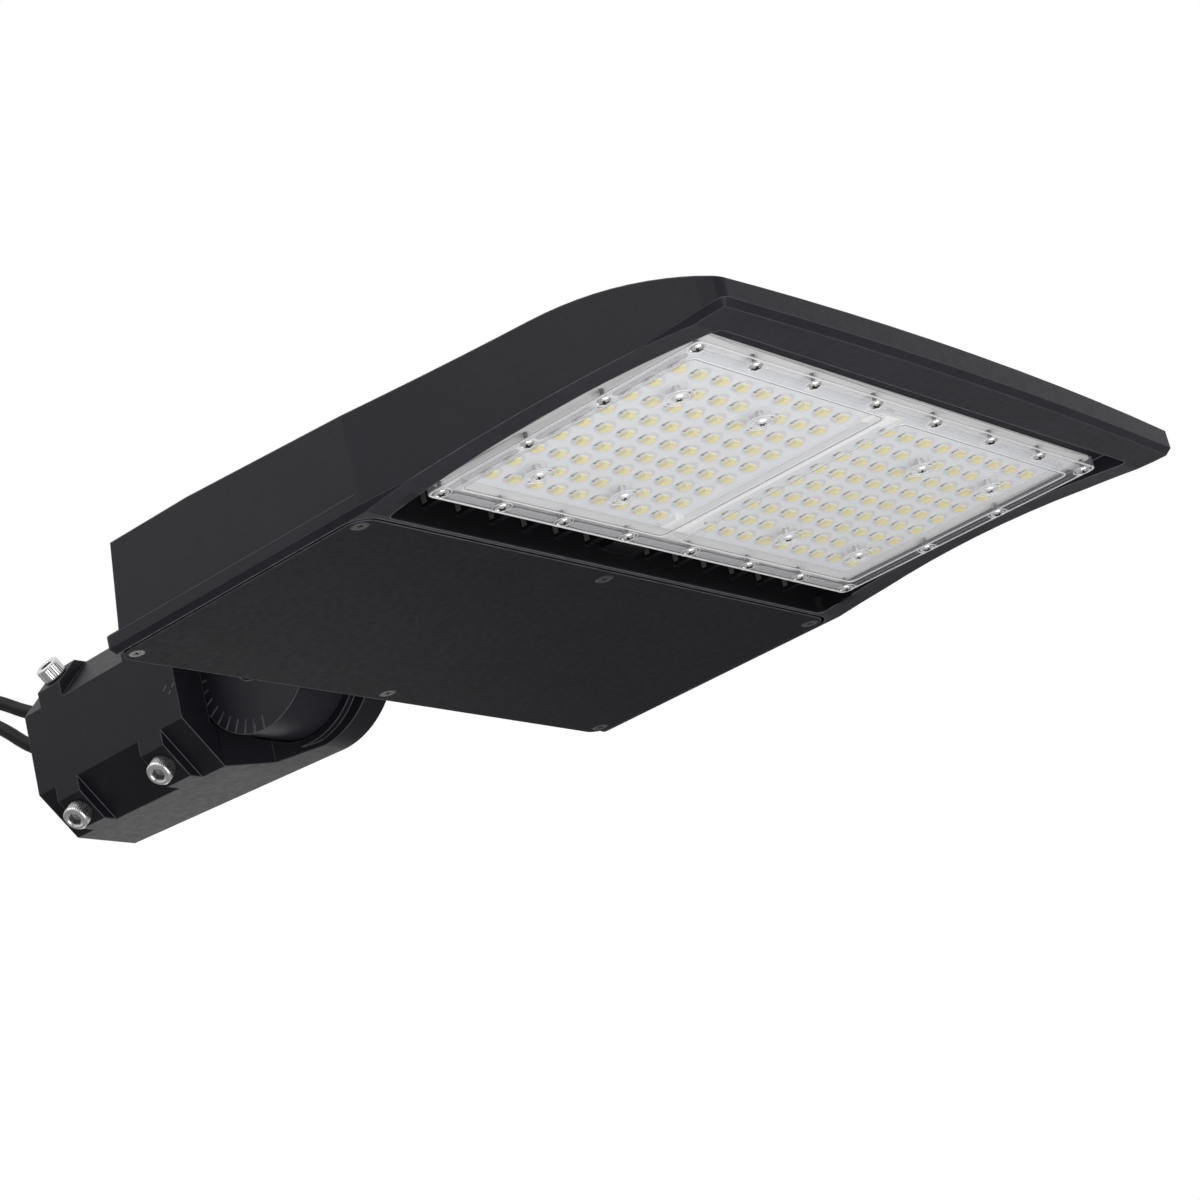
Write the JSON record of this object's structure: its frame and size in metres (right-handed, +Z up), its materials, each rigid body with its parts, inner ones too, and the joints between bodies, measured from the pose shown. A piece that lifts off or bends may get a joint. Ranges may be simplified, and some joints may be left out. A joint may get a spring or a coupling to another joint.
{
  "type": "parking lot light",
  "caption": "LED area light head on a slip fitter: finned housing with driver compartment and clear lens panel, tilting on a dial knuckle above a clamped tenon socket",
  "frame": {"origin": "centre of the tenon socket's mouth", "axes": "+X along the light from the pole to the tip, +Y to the left seen from the pole, +Z up; the lens faces down"},
  "size_m": [0.7431, 0.343, 0.2491],
  "materials": {
    "cast_grey": "die-cast, dark grey powder coat, semi matt",
    "cover_grey": "sheet, dark grey powder coat, matt",
    "stainless": "stainless steel",
    "black_steel": "black oxide",
    "black_rubber": "matt",
    "white_rubber": "matt",
    "cord_jacket": "satin jacket",
    "core_insulation": "satin",
    "lens_clear": "clear moulded plastic",
    "board_white": "white solder mask",
    "led_yellow": "phosphor",
    "white_plastic": "satin",
    "driver_case": "plain",
    "gear_black": "satin"
  },
  "bodies": {
    "slip_fitter": {"slip_fitter_arm": "cast_grey", "clamp_screws": "stainless", "pivot_bolt": "stainless", "pivot_washer": "stainless", "pivot_nut": "stainless", "wire_grommets": "black_rubber", "power_cord": "cord_jacket", "dimming_cord": "cord_jacket", "power_cord_cores": "core_insulation", "dimming_cord_cores": "core_insulation"},
    "head": {"knuckle_bracket": "cast_grey", "bracket_gasket": "black_rubber", "bracket_bolts": "stainless", "housing": "cast_grey", "driver_cover": "cover_grey", "cover_gasket": "black_rubber", "cover_screws": "black_steel", "lens_panel": "lens_clear", "lens_gasket": "white_rubber", "lens_screws": "stainless", "led_board_left": "board_white", "led_board_right": "board_white", "led_chips_left": "led_yellow", "led_chips_right": "led_yellow", "centre_bar": "white_plastic", "board_connectors": "white_plastic", "led_driver": "driver_case", "driver_screws": "stainless", "surge_protector": "gear_black", "terminal_block": "white_plastic"}
  },
  "joints": [
    {"name": "tilt", "type": "hinge", "parent": "slip_fitter", "child": "head", "pos_m": [0.136, 0, 0], "axis": [0, 1, 0], "range_deg": [-90, 90]}
  ]
}
